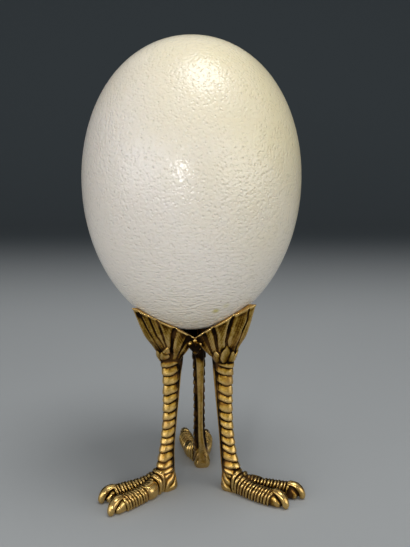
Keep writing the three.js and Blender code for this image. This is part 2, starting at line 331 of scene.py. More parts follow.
def points_of(mesh):
    return read(mesh.vertices, "co", 3, np.float32).astype(float) / MM


def set_points(mesh, points):
    mesh.vertices.foreach_set("co", (points * MM).astype(np.float32).ravel())
    mesh.update()


def store(mesh, name, values):
    attribute = mesh.attributes.get(name) or mesh.attributes.new(name, "FLOAT", "POINT")
    attribute.data.foreach_set("value", np.asarray(values, np.float32).ravel())


def add_object(name, mesh, material=None):
    thing = bpy.data.objects.new(name, mesh)
    bpy.context.scene.collection.objects.link(thing)
    if material:
        mesh.materials.clear()
        mesh.materials.append(material)
    return thing


def crossed(rows, columns):
    """Two grids that pair each of the rows with each of the columns."""
    return np.meshgrid(rows, columns, indexing="ij")


def round_about(count):
    """Evenly spaced angles of one full turn."""
    return np.linspace(0, 2 * math.pi, count, endpoint=False)


def grid_faces(rows, columns, closed):
    """The four-cornered faces of a grid of points, joined round if it is closed."""
    across = columns if closed else columns - 1
    row, column = crossed(np.arange(rows - 1), np.arange(across))
    following = (column + 1) % columns
    corners = [row * columns + column, row * columns + following]
    corners += [(row + 1) * columns + following, (row + 1) * columns + column]
    return np.stack([c.ravel() for c in corners], axis=1)


def tube(name, loops):
    """A closed tube through loops of points, with a middle point at each end."""
    rows, columns = loops.shape[:2]
    points = np.concatenate([loops.reshape(-1, 3), loops[0].mean(0)[None], loops[-1].mean(0)[None]])
    here = np.arange(columns)
    following = (here + 1) % columns
    first = np.stack([following, here, np.full(columns, rows * columns)], axis=1)
    top = (rows - 1) * columns
    last = np.stack([top + here, top + following, np.full(columns, rows * columns + 1)], axis=1)
    return mesh_from(name, points, [grid_faces(rows, columns, True), first, last])


def store_on_tube(mesh, plate, cover):
    """The count of plates and how far they cover a tube, for the tree that lifts them."""
    for name, values in (("plate", plate), ("cover", cover)):
        store(mesh, name, np.concatenate([values.ravel(), np.zeros(2)]))


def slab(name, outer, inner):
    """A closed plate between two grids of points that match, row by row."""
    rows, columns = outer.shape[:2]
    count = rows * columns
    front = grid_faces(rows, columns, False)
    back = front[:, ::-1] + count
    sides = []
    index = np.arange(count).reshape(rows, columns)
    for edge in (index[0, ::-1], index[-1], index[:, 0], index[::-1, -1]):
        sides.append(np.stack([edge[:-1], edge[:-1] + count, edge[1:] + count, edge[1:]], axis=1))
    points = np.concatenate([outer.reshape(-1, 3), inner.reshape(-1, 3)])
    return mesh_from(name, points, [np.concatenate([front, back, *sides])])


def smooth_step(value, low, high):
    f = np.clip((value - low) / (high - low), 0, 1)
    return f * f * (3 - 2 * f)


def through(rows, place):
    """The columns of a table at some places, on smooth curves through its rows."""
    rows = np.asarray(rows, float)
    place = np.asarray(place, float)
    k = np.clip(np.searchsorted(rows[:, 0], place) - 1, 0, len(rows) - 2)
    slopes = np.gradient(rows[:, 1:], rows[:, 0], axis=0)
    span = (rows[k + 1, 0] - rows[k, 0])[..., None]
    f = np.clip((place - rows[k, 0])[..., None] / span, 0, 1)
    low, high = rows[k, 1:], rows[k + 1, 1:]
    rise = (1 - f) * slopes[k] * span * f * (1 - f) - f * slopes[k + 1] * span * f * (1 - f)
    return low + (high - low) * f * f * (3 - 2 * f) + rise


def spin(points, angle, centre=(0.0, 0.0)):
    """Points turned about an upright axis, by an angle that may differ for each."""
    x, y = points[..., 0] - centre[0], points[..., 1] - centre[1]
    turned = [centre[0] + x * np.cos(angle) - y * np.sin(angle)]
    turned += [centre[1] + x * np.sin(angle) + y * np.cos(angle), points[..., 2]]
    return np.stack(turned, axis=-1)


# --------------------------------------------------------------------- the egg


def egg_tree():
    """The shell by its own rule: a sphere drawn out, fuller on top, and wrinkled."""
    sockets = [
        ("Half Width", "Float", EGG_HALF_WIDTH * MM),
        ("Half Height", "Float", EGG_HALF_HEIGHT * MM),
        ("Fullness 1", "Float", EGG_FULLNESS[0]),
        ("Fullness 2", "Float", EGG_FULLNESS[1]),
        ("Fullness 3", "Float", EGG_FULLNESS[2]),
        ("Wrinkle Depth", "Float", 0.0001),
        ("Wrinkle Spacing", "Float", 0.003),
        ("Segments", "Int", 430),
        ("Rings", "Int", 228),
        ("Lean", "Vector", None),
        ("Middle", "Vector", None),
        ("Material", "Material", None),
    ]
    tree, given = node_group("Egg by rule", sockets)
    ball = tree.add(
        "GeometryNodeMeshUVSphere",
        {"Segments": given["Segments"], "Rings": given["Rings"], "Radius": 1.0},
    ).outputs["Mesh"]
    place = tree.add("GeometryNodeInputPosition").outputs[0]
    split = tree.split(place)
    height = split["Z"]
    fuller = tree.math("MULTIPLY_ADD", height, given["Fullness 3"], given["Fullness 2"])
    fuller = tree.math("MULTIPLY_ADD", height, fuller, given["Fullness 1"])
    fuller = tree.math("MULTIPLY_ADD", height, fuller, 1.0)
    width = tree.math("MULTIPLY", fuller, given["Half Width"])
    drawn = tree.add(
        "ShaderNodeCombineXYZ",
        {
            "X": tree.math("MULTIPLY", split["X"], width),
            "Y": tree.math("MULTIPLY", split["Y"], width),
            "Z": tree.math("MULTIPLY", height, given["Half Height"]),
        },
    ).outputs[0]
    egg = tree.add("GeometryNodeSetPosition", {"Geometry": ball, "Position": drawn}).outputs[0]
    fine = tree.math("DIVIDE", 1.0, given["Wrinkle Spacing"])
    flatter = tree.vector("MULTIPLY", place, (1.0, 1.0, 1.25))
    ripples = tree.noise(tree.scaled(flatter, fine), 1.0, 1.0)
    dips = tree.math("MULTIPLY", tree.math("SUBTRACT", ripples, 0.75), given["Wrinkle Depth"])
    stood = tree.add(
        "GeometryNodeTransform",
        {"Geometry": tree.pushed(egg, dips), "Translation": given["Middle"], "Rotation": given["Lean"]},
    ).outputs[0]
    return close_tree(tree, stood, given["Material"])


def egg_clearance(points):
    """How far points lie outside the egg's seat, and the way outwards there."""
    half_width, half_height = EGG_HALF_WIDTH + SEAT_GAP, EGG_HALF_HEIGHT + SEAT_GAP
    local = points - np.array(EGG_MIDDLE)
    x = local[:, 0] * math.cos(EGG_LEAN) - local[:, 2] * math.sin(EGG_LEAN)
    z = local[:, 0] * math.sin(EGG_LEAN) + local[:, 2] * math.cos(EGG_LEAN)
    y = local[:, 1]

    def radius(height):
        u = np.clip(height / half_height, -1, 1)
        full = 1 + u * (EGG_FULLNESS[0] + u * (EGG_FULLNESS[1] + u * EGG_FULLNESS[2]))
        return half_width * np.sqrt(np.maximum(1 - u * u, 1e-6)) * full

    slope = (radius(z + 0.01) - radius(z - 0.01)) / 0.02
    out = np.hypot(x, y)
    long = np.sqrt(1 + slope**2)
    side = (out - radius(z)) / long
    ways = np.stack([x / out / long, y / out / long, -slope / long], axis=1)
    back_x = ways[:, 0] * math.cos(EGG_LEAN) + ways[:, 2] * math.sin(EGG_LEAN)
    back_z = -ways[:, 0] * math.sin(EGG_LEAN) + ways[:, 2] * math.cos(EGG_LEAN)
    return side, np.stack([back_x, ways[:, 1], back_z], axis=1)


def off_egg(points):
    """Points, with those that lie in the egg's seat moved out of it."""
    for _ in range(3):
        side, ways = egg_clearance(points)
        points = points - np.minimum(side, 0)[:, None] * ways
    return points


# -------------------------------------------------------------------- the legs


def plates_tree():
    """Plates or rings that follow one another along a limb, by a stored count."""
    sockets = [
        ("Geometry", "Geometry", None),
        ("Step", "Float", 0.0006),
        ("Groove", "Float", 0.0003),
        ("Rounded", "Float", 0.0),
        ("Material", "Material", None),
    ]
    tree, given = node_group("Plates along a limb", sockets)
    along = tree.math("FRACT", tree.attribute("plate"))
    lapped = [(0.0, 0.3), (0.05, 0.75), (0.16, 1.0), (0.45, 0.9), (0.8, 0.56), (1.0, 0.34)]
    ringed = [(0.0, 0.0), (0.12, 0.28), (0.28, 0.86), (0.5, 1.0), (0.72, 0.86), (0.88, 0.28), (1.0, 0.0)]
    ways = {"A": tree.curve(along, lapped), "B": tree.curve(along, ringed)}
    mixed = tree.add("ShaderNodeMix", {"Factor": given["Rounded"], **ways}).outputs[0]
    near_edge = tree.math("MINIMUM", along, tree.math("SUBTRACT", 1.0, along))
    reach = tree.math("MULTIPLY_ADD", given["Rounded"], 0.025, 0.075)
    crease = tree.math("SUBTRACT", 1.0, tree.math("DIVIDE", near_edge, reach), clamp=True)
    rise = tree.math("MULTIPLY", mixed, given["Step"])
    rise = tree.math("SUBTRACT", rise, tree.math("MULTIPLY", crease, given["Groove"]))
    rise = tree.math("MULTIPLY", rise, tree.attribute("cover"))
    return close_tree(tree, tree.pushed(given["Geometry"], rise), given["Material"])


def shank_points(leg, angle, z, swell=0.0):
    """Points round the shank at angles from its front, in the leg's own frame."""
    middle, depth, width = np.moveaxis(through(SHANK, z), -1, 0)
    boxy = 1 - 0.32 * (1 - smooth_step(z, 7.0, 14.0))
    across, side = np.cos(angle), np.sin(angle)
    x = (depth + swell) * np.sign(across) * np.abs(across) ** boxy
    y = (width + swell) * np.sign(side) * np.abs(side) ** boxy
    turned = math.radians(leg.turn) * (1 - smooth_step(z, TURN_TOP_Z, FLARE_BASE_Z))
    points = spin(np.stack([x, y, z + 0 * x], axis=-1), turned)
    moved = 1 - smooth_step(z, 0, HEEL_TOP_Z)
    points[..., 0] += middle + leg.shift[0] * moved
    points[..., 1] += leg.shift[1] * moved
    return points


def shank_mesh(leg):
    """The heel and the shank, with the count of plates stored for the tree."""
    heights = np.linspace(0.0, 79.0, 360)
    z, angle = crossed(heights, np.linspace(-math.pi, math.pi, 128, endpoint=False))
    seen = np.abs((angle - math.radians(leg.twist) + math.pi) % (2 * math.pi) - math.pi)
    turn = seen / math.radians(118)
    upper = smooth_step(z, 9.0, 17.0)
    cover = 1 - smooth_step(turn, 0.94, 1.05)
    cover *= smooth_step(z + 6.0 * (1 - np.minimum(turn, 1)), 9.0, 14.0)
    sinew = seen + math.radians(14) * smooth_step(z, 34, 70)
    groove = 0.5 * np.exp(-(((sinew - math.radians(137)) / 0.2) ** 2)) * upper
    tendon = 0.35 * smooth_step(sinew, math.radians(143), math.radians(159)) * upper
    folds = np.sin(1.35 * (z - 7.0 * (seen - 1.2)))
    folds = folds * smooth_step(seen, 0.9, 1.3) * (1 - smooth_step(seen, 2.3, 2.9))
    folds *= 0.17 * (1 - smooth_step(z, 8.5, 12.0)) * smooth_step(z, 0.6, 2.4)
    points = shank_points(leg, angle, z, tendon - groove - folds - 0.28 * cover)
    mesh = tube("shank", points)
    rise = 2.6 * np.minimum(turn, 1.1) ** 2.8 * smooth_step(z, 6.0, 24.0)
    wander = 0.24 * np.sin(2.1 * angle + 0.37 * z) + 0.10 * np.sin(z * 0.21 + 5 * angle)
    count = np.interp(z - rise + wander, PLATE_EDGES, np.arange(len(PLATE_EDGES)))
    store_on_tube(mesh, count, cover)
    return mesh


def cup_corners(leg):
    """The tip and the two junctions of a leg's flare, and the cup's middle, in the
    leg's own frame, and the ways from that middle to the junctions."""
    back = -math.radians(leg.azimuth)
    cup = np.array([CUP_CENTRE[0] - FEET_CENTRE[0], CUP_CENTRE[1] - FEET_CENTRE[1], 0.0])
    middle = spin(cup, back)

    def way(azimuth):
        angle = math.radians(azimuth) + back
        return np.array([math.cos(angle), math.sin(angle), 0.0])

    first, last = leg.junctions
    tip = middle + CUP_TIP_RADIUS * way(leg.flare) + (0, 0, leg.tip_z)
    low = middle + CUP_JUNCTION_RADIUS * way(first - 2) + (0, 0, CUP_JUNCTION_Z)
    high = middle + CUP_JUNCTION_RADIUS * way(last + 2) + (0, 0, CUP_JUNCTION_Z)
    cuts = [way(first + 90), way(last - 90)]
    return tip, low, high, middle, cuts


def rim_points(t, tip, low, high):
    """The rim at fractions from the tip to the junctions, bowed round the egg."""
    low_side = (t < 0)[..., None]
    junction = np.where(low_side, low, high)
    belly = np.empty_like(junction)
    belly[..., 0] = BELLY[0]
    belly[..., 1] = np.where(t < 0, math.copysign(BELLY[1], low[1]), math.copysign(BELLY[1], high[1]))
    climb = (BELLY[0] - junction[..., 0]) / (tip[0] - junction[..., 0])
    belly[..., 2] = junction[..., 2] + (tip[2] - junction[..., 2]) * climb
    f = np.abs(t)[..., None]
    return (1 - f) ** 2 * tip + 2 * f * (1 - f) * belly + f**2 * junction


def flare_grid(leg, t, w, grooved=1.0):
    """Outer points of the flare, at fractions across from edge to edge and up."""
    tip, low, high = cup_corners(leg)[:3]
    base = shank_points(leg, t * FRONT_ANGLE, np.full(t.shape, FLARE_BASE_Z), -0.2)
    points = base + (rim_points(t, tip, low, high) - base) * w[..., None]
    outward = np.stack([1.2 - np.abs(t), t, np.full(t.shape, -0.35)], axis=-1)
    outward /= np.linalg.norm(outward, axis=-1, keepdims=True)
    swell = through(SWELL, w)[..., 0] * (1 - 0.6 * t * t)
    carved = np.zeros(t.shape)
    fade = smooth_step(w, 0.1, 0.3) * (1 - 0.3 * smooth_step(w, 0.8, 1.0))
    span = 8.0 + 26.0 * w
    nearest = np.full(t.shape, 9.0)
    for depth, width, way in GROOVES:
        heights, places = np.array(way).T
        wide = width * (0.45 + 0.62 * smooth_step(w, 0.4, 0.8))
        off = (t - np.interp(w, heights, places)) * span / wide
        reach = smooth_step(w, heights[0] - 0.12, heights[0] + 0.04)
        carved += depth * fade * reach * (0.82 * np.exp(-(off**2)) + 0.18 / (1 + 0.5 * off**2))
        nearest = np.where(np.abs(off * width) < np.abs(nearest), off * width, nearest)
    away = np.abs(nearest)
    barbs = 0.035 * np.sin(4.9 * (34 * w - 0.9 * away)) * smooth_step(away, 0.6, 1.4)
    barbs += 0.04 * np.sin(3.7 * t * span + 1.3 * np.sin(7 * w + 4 * t)) * smooth_step(away, 0.5, 1.2)
    barbs *= smooth_step(w, 0.3, 0.4) * (1 - smooth_step(w, 0.9, 0.96))
    lip = 0.30 * smooth_step(w, 0.94, 0.985)
    return points + outward * (swell + (lip + barbs - carved) * grooved)[..., None]


def flare_mesh(leg):
    """The fluted top, a plate that is even at the rim and solid at the shank."""
    w, t = crossed(np.linspace(0, 1, 150), np.linspace(-1, 1, 260))
    outer = flare_grid(leg, t, w)
    smooth = outer.copy()
    reach = 16
    kernel = np.ones(2 * reach + 1) / (2 * reach + 1)
    for axis in range(3):
        padded = np.pad(outer[..., axis], ((0, 0), (reach, reach)), mode="edge")
        smooth[..., axis] = [np.convolve(row, kernel, "valid") for row in padded]
    opened = smooth_step(w, 0.1, 0.6)[..., None]
    low, high = outer[:, :1], outer[:, -1:]
    back = low + (high - low) * ((t + 1) / 2)[..., None]
    behind = math.pi - (math.pi - FRONT_ANGLE) * 0.9 * t
    shank_back = shank_points(leg, behind, np.full(t.shape, FLARE_BASE_Z), -0.2)
    back[..., 0] += (shank_back[..., 0] - low[..., 0]) * (1 - w)
    inward = np.stack([np.abs(t) - 1.35, -t, np.full(t.shape, 0.1)], axis=-1)
    inward /= np.linalg.norm(inward, axis=-1, keepdims=True)
    wall = WALL * (1 + 0.9 * (1 - np.abs(t)) ** 4)
    inner = back + (smooth + inward * wall[..., None] - back) * opened
    return slab("flare", outer, inner)


def toe_meshes(leg, toe):
    """A toe with its counted plates and rings, and its claw, to be set at the ankle."""
    angle, reach, instep, pitch, bulge = toe
    reach += leg.growth
    end = reach - PAD_SETBACK
    x, around = crossed(np.linspace(-1.5, end, 250), round_about(84))
    close = np.clip((end - x) / 3.2, 0, 1)
    tip_round = np.sqrt(np.clip(1 - (1 - close) ** 3.4, 0, 1)) * 0.98 + 0.02
    up, across = np.sin(around), np.cos(around)
    joint = np.exp(-(((x - 13.2) / 3.6) ** 4)) * bulge * smooth_step(across, -0.1, 0.6)
    height = 8.2 + 5.2 * np.exp(-((np.maximum(x, 0) / 8.6) ** 2)) + 0.3 * joint
    half_width = 3.75 + 0.9 * joint - 1.5 * (1 - smooth_step(x, -1.0, 6.5))
    half_height = height / 2
    z = half_height - 0.25 + half_height * np.sign(up) * np.abs(up) ** 0.85 * tip_round
    y = half_width * np.sign(across) * np.abs(across) ** 0.88 * tip_round
    last_ring = end - PAD_LENGTH
    slope = smooth_step(x, last_ring, end) * smooth_step(up, -0.4, 1.0)
    bow = math.copysign(1.0, angle) * np.sin(np.clip((x - 2) / (end - 4), 0, 1) * math.pi)
    mesh = tube("toe", np.stack([x - 2.0 * slope, y * (1 - 0.25 * slope) + bow, z], axis=-1))
    rings = round((last_ring - instep[-1]) / pitch)
    edges = list(instep)
    edges += [instep[-1] + (last_ring - instep[-1]) * (k + 1) / rings for k in range(rings)]
    ringed = smooth_step(x, instep[-1] - 2, instep[-1] + 2)
    lag = x + 0.9 * across**2 * (1 - ringed) + 1.1 * (1 - up) * ringed
    lag += 0.16 * np.sin(1.7 * x + 3 * across) * ringed
    count = np.interp(lag, edges, np.arange(len(edges)))
    if bulge:
        outer = [edge for edge in edges if not instep[-1] < edge < JOINT_END]
        count = np.where(across > 0.2, np.interp(lag, outer, np.arange(len(outer))), count)
    cover = 1.0 + 0.5 * (1 - smooth_step(x, instep[-1] - 0.6, instep[-1] + 0.6))
    cover *= 1 - smooth_step(lag, last_ring, last_ring + 0.3)
    cover *= smooth_step(up, -0.95, -0.7)
    store_on_tube(mesh, count, cover)
    return mesh, claw_mesh(reach)


def claw_mesh(reach):
    """A hooked claw, as thick at the ground as at its root, and blunt."""
    f, around = crossed(np.linspace(0, 1, 100), round_about(48))
    bend = f * math.pi * 0.5
    middle_x = reach - 10.9 + 8.5 * np.sin(bend) ** 0.9
    middle_z = 0.3 + 8.1 * np.cos(bend) ** 0.85
    blunt = smooth_step(f, -0.2, 0.1) * np.sqrt(np.clip((1.05 - f) / 0.14, 0.04, 1))
    thick = (2.1 + 0.5 * np.sin(f * math.pi) - 0.35 * f**2.0) * blunt
    deep = (1.25 + 0.85 * smooth_step(f, 0.0, 0.45) - 0.2 * f**2.0) * blunt
    up, across = deep * np.sin(around), thick * np.cos(around)
    lean = bend * 0.97
    x, z = middle_x + up * np.sin(lean), middle_z + up * np.cos(lean)
    return tube("claw", np.stack([x, across, z], axis=-1))


def scale_mesh(middle, ways, sizes):
    """A low almond scale, lying along three ways with three half sizes."""
    v, u = crossed(np.linspace(-1, 1, 30)[1:-1] * math.pi / 2, round_about(40))
    narrow = 1 - 0.42 * np.sin(v)
    shape = np.stack([np.sin(v), narrow * np.cos(v) * np.cos(u), np.cos(v) * np.sin(u)], axis=-1)
    return tube("scale", np.asarray(middle) + shape * np.array(sizes) @ np.array(ways))


def flare_scales(leg):
    """The almond scales and the knobs where the flare meets the shank."""
    scales = []
    for t, w, along, across, high, slant in SCALES:
        here, up, side = flare_grid(leg, np.array([t, t, t + 0.02]), np.array([w, w + 0.02, w]), 0.15)
        up, side = up - here, side - here
        up /= np.linalg.norm(up)
        out = np.cross(side, up)
        out /= np.linalg.norm(out)
        over = np.cross(out, up)
        c, s = math.cos(math.radians(slant)), math.sin(math.radians(slant))
        ways = (up * c + over * s, over * c - up * s, out)
        scales.append(scale_mesh(here, ways, (along, across, high)))
    return scales


def clamp_leg(points, leg):
    """Keeps a leg off the egg, off the ground and off its neighbours."""
    middle, cuts = cup_corners(leg)[3:]
    for cut in cuts:
        depth = (points - middle) @ cut - JUNCTION_GAP / 2
        points = points - np.minimum(depth, 0)[:, None] * cut * (points[:, 2] > 60)[:, None]
    points = spin(points, math.radians(leg.azimuth)) + (*FEET_CENTRE, 0)
    upper = points[:, 2] > 85
    points[upper] = off_egg(points[upper])
    points[:, 2] = np.maximum(points[:, 2], 0)
    return points


def relaxed(mesh, points, steps):
    """Points drawn towards the middles of their neighbours, some steps long."""
    a, b = read(mesh.edges, "vertices", 2).T
    count = len(points)
    valence = np.maximum(np.bincount(a, minlength=count) + np.bincount(b, minlength=count), 1)
    for _ in range(steps):
        total = np.empty_like(points)
        for axis in range(3):
            value = points[:, axis]
            total[:, axis] = np.bincount(a, value[b], count) + np.bincount(b, value[a], count)
        points = total / valence[:, None]
    return points


def hollows_dirt_and_shade(mesh, points):
    """How far each point lies in a recess (up to 1) or on a ridge (down to -1), with painted shade and old
    dirt added.
    """
    normals = read(mesh.vertex_normals, "vector", 3, np.float32)
    moved = points
    found = np.zeros(len(points))
    done = 0
    for step in HOLLOW_STEPS:
        moved = relaxed(mesh, moved, step - done)
        done = step
        found += np.einsum("ij,ij->i", moved - points, normals) / (HOLLOW_DEPTH * step**0.75)
    return np.clip(found / len(HOLLOW_STEPS) + painted_shade_and_dirt(points), -1, 1)


def painted_shade_and_dirt(points):
    """Painted shade at the junctions, under the cup and on the rear leg, and blots of old dirt."""
    x, y, z = (points - (*CUP_CENTRE, 0)).T
    # Darker from the heel up, a little less on the flares.
    shade_and_dirt = 0.11 * smooth_step(z, 12, 18) - 0.07 * smooth_step(z, 74, 80)
    # Painted shade on the rear leg and, further back, on its foot.
    shade_and_dirt += 0.1 * smooth_step(y, 8, 14)
    shade_and_dirt += 0.18 * smooth_step(y, 26, 34)
    # Painted shade round the three junctions, under the egg.
    for azimuth in JUNCTIONS:
        angle = math.radians(azimuth)
        junction_x, junction_y = CUP_JUNCTION_RADIUS * math.cos(angle), CUP_JUNCTION_RADIUS * math.sin(angle)
        away = np.hypot(x - junction_x, y - junction_y)
        shade_and_dirt += 0.55 * np.exp(-((away / 5.0) ** 2)) * smooth_step(z, 72, 78)
    shade_under_cup = 1 - smooth_step(np.hypot(x, y), 12.0, 16.0)
    low = 1 - smooth_step(z, 9, 16)
    for spot_place, radius, amount in GRIME_SPOTS:
        away = np.linalg.norm(points - np.array(spot_place), axis=1)
        shade_and_dirt += amount * np.exp(-((away / radius) ** 2))
    # Painted shade under the cup, and lighter near the ground.
    shade_and_dirt = shade_and_dirt + 0.6 * shade_under_cup * smooth_step(z, 66, 74) - 0.18 * low
    # Darker on the right foot.
    return shade_and_dirt + 0.38 * low * smooth_step(x, 18, 26)


def shade_and_wear(points, leg):
    """Painted shade on the shank's flanks behind the plates and between the toes, and the
    handled plates rubbed lighter."""
    local = spin(points - (*FEET_CENTRE, 0), -math.radians(leg.azimuth))
    height = local[:, 2]
    middle = through(SHANK, height)[:, 0] + leg.shift[0] * (1 - smooth_step(height, 0, HEEL_TOP_Z))
    turned = math.radians(leg.turn) * (1 - smooth_step(height, TURN_TOP_Z, FLARE_BASE_Z))
    seen = np.arctan2(local[:, 1], local[:, 0] - middle) - turned - math.radians(leg.twist)
    seen = np.degrees(np.abs((seen + math.pi) % (2 * math.pi) - math.pi))
    sinew = seen + 14 * smooth_step(height, 34, 70)
    # Painted shade on the flanks behind the plates.
    flank_shade = smooth_step(seen, 98, 112) * (1 - smooth_step(sinew, 146, 157))
    flank_shade *= smooth_step(height, 8, 18) * (1 - smooth_step(height, 72, 78))
    foot = spin(local - (ANKLE, 0, 0), -math.radians(leg.turn))
    # Painted shade in the gap between the toes.
    shade_between_toes = np.exp(-((foot[:, 1] / (1.1 + 0.08 * np.abs(foot[:, 0]))) ** 2))
    shade_between_toes *= smooth_step(foot[:, 0], 7, 12) * (1 - smooth_step(height, 6.4, 8.4))
    handled = (1 - smooth_step(seen, 60, 98)) * smooth_step(height, 12, 20)
    handled *= 1 - smooth_step(height, 70, 76)
    return 0.45 * flank_shade + 0.8 * shade_between_toes - 0.08 * handled


def leg_mesh(name, leg, settings, plates, material):
    """One whole casting: its pieces run together, cut to fit, aged and given painted shade."""
    blocks, faces, start = [], [], 0

    def lifted(mesh, step, rounded):
        """A mesh with its plates or rings raised."""
        values = {"Step": step, "Groove": PLATE_GROOVE * MM, "Rounded": rounded, "Material": material}
        return run_tree(mesh, plates, values)

    def keep(mesh, toe_angle=None):
        """Adds a mesh to the casting, turned and set at the ankle if it is a toe's."""
        nonlocal start
        points = points_of(mesh)
        if toe_angle is not None:
            points = spin(points, math.radians(toe_angle + leg.turn)) + (ANKLE, 0, 0)
        corners = read(mesh.loops, "vertex_index")
        sizes = read(mesh.polygons, "loop_total")
        starts = np.cumsum(sizes) - sizes
        for size in (3, 4):
            chosen = starts[sizes == size]
            if len(chosen):
                faces.append(corners[chosen[:, None] + np.arange(size)] + start)
        blocks.append(points)
        start += len(points)
        bpy.data.meshes.remove(mesh)

    toes = [(toe[0], *toe_meshes(leg, toe)) for toe in TOES]
    keep(lifted(shank_mesh(leg), settings.plate_step, 0.0))
    for angle, toe, claw in toes:
        keep(lifted(toe, settings.ring_depth, 1.0), angle)
    for mesh in (flare_mesh(leg), *flare_scales(leg)):
        keep(mesh)
    for angle, toe, claw in toes:
        keep(claw, angle)
    mesh = run_together(mesh_from("rough_" + name, np.concatenate(blocks), faces), settings.grain)
    points = clamp_leg(points_of(mesh), leg)
    set_points(mesh, points)
    # Patina in the hollows, old dirt and painted shade, for the material.
    aged_and_shaded = hollows_dirt_and_shade(mesh, points) + shade_and_wear(points, leg)
    store(mesh, "hollow_dirt_and_shade", np.clip(aged_and_shaded, BRIGHTEST_RIDGE, 1))
    mesh.shade_smooth()
    return mesh


def run_together(rough, grain):
    """One closed skin over all that a mesh holds, with faces of one size."""
    carrier = add_object("rough", rough)
    joined = carrier.modifiers.new("Run together", "REMESH")
    joined.mode = "VOXEL"
    joined.voxel_size = grain
    mesh = plain_mesh(carrier)
    bpy.data.objects.remove(carrier)
    bpy.data.meshes.remove(rough)
    return mesh


def beads_tree():
    """Lumps of braze: a ball on each point of a mesh, of its stored radius."""
    sockets = [
        ("Geometry", "Geometry", None),
        ("Roughened", "Float", 0.0011),
        ("Material", "Material", None),
    ]
    tree, given = node_group("Braze", sockets)
    ball = tree.add("GeometryNodeMeshIcoSphere", {"Radius": 1.0, "Subdivisions": 4}).outputs["Mesh"]
    laid = tree.add(
        "GeometryNodeInstanceOnPoints",
        {"Points": given["Geometry"], "Instance": ball, "Scale": tree.attribute("radius")},
    ).outputs[0]
    real = tree.add("GeometryNodeRealizeInstances", {"Geometry": laid}).outputs[0]
    place = tree.add("GeometryNodeInputPosition").outputs[0]
    rough = tree.math("SUBTRACT", tree.noise(place, 520.0, 1.0), 0.5)
    lumpy = tree.pushed(real, tree.math("MULTIPLY", rough, given["Roughened"]))
    return close_tree(tree, lumpy, given["Material"])


def braze_mesh(settings, material):
    """The lumps at the three junctions, run into one skin each."""
    places, radii = [], []
    for azimuth in JUNCTIONS:
        c, s = math.cos(math.radians(azimuth)), math.sin(math.radians(azimuth))
        out, side = np.array([c, s, 0]), np.array([-s, c, 0])
        junction = np.array([*CUP_CENTRE, CUP_JUNCTION_Z]) + CUP_JUNCTION_RADIUS * out
        for outwards, sideways, up, radius in BRAZE:
            places.append(junction + outwards * out + sideways * side + (0, 0, up))
            radii.append(radius * MM)
    seeds = bpy.data.meshes.new("seeds")
    seeds.from_pydata([tuple(place * MM) for place in places], [], [])
    store(seeds, "radius", radii)
    beads = run_tree(seeds, beads_tree(), {"Material": material})
    mesh = run_together(beads, settings.grain)
    points = off_egg(relaxed(mesh, points_of(mesh), 4))
    set_points(mesh, points)
    # Painted shade on the lower lumps, under the egg.
    shade_below = 1 - smooth_step(points[:, 2], 86.0, 88.8)
    store(mesh, "hollow_dirt_and_shade", np.clip(hollows_dirt_and_shade(mesh, points) + 0.4 * shade_below, -1, 1))
    mesh.shade_smooth()
    return mesh


# ------------------------------------------------------------------- materials


def new_material(name):
    material = bpy.data.materials.new(name)
    material.use_nodes = True
    material.node_tree.nodes.clear()
    tree = Tree(material.node_tree)
    shader = tree.add("ShaderNodeBsdfPrincipled")
    tree.add("ShaderNodeOutputMaterial", {"Surface": shader.outputs[0]})
    return material, tree, shader


def ramp(tree, value, stops):
    node = tree.add("ShaderNodeValToRGB", {"Fac": value})
    points = node.color_ramp.elements
    while len(points) < len(stops):
        points.new(0.5)
    for point, (place, colour) in zip(points, stops):
        point.position = place
        point.color = (*colour, 1.0)
    return node.outputs["Color"]


def blend(tree, factor, low, high):
    """One colour laid over another. A mix node's colours are its inputs 6 and 7."""
    node = tree.add("ShaderNodeMix", {0: factor}, data_type="RGBA")
    for place, colour in ((6, low), (7, high)):
        is_socket = isinstance(colour, bpy.types.NodeSocket)
        tree.feed(node.inputs[place], colour if is_socket else (*colour, 1.0))
    return node.outputs[2]


def spot(tree, place, centre, radius, soft=0.6):
    """A round stain: 1 in its middle, fading to 0 at its ragged edge. In mm."""
    ends = {0: place, 1: tuple(c * MM for c in centre)}
    away = tree.add("ShaderNodeVectorMath", ends, operation="DISTANCE").outputs["Value"]
    ragged = tree.math("MULTIPLY_ADD", tree.noise(place, 900.0), radius * MM * soft, away)
    return tree.remap(ragged, radius * MM * (1 + soft / 2), radius * MM * soft / 2, kind="SMOOTHSTEP")


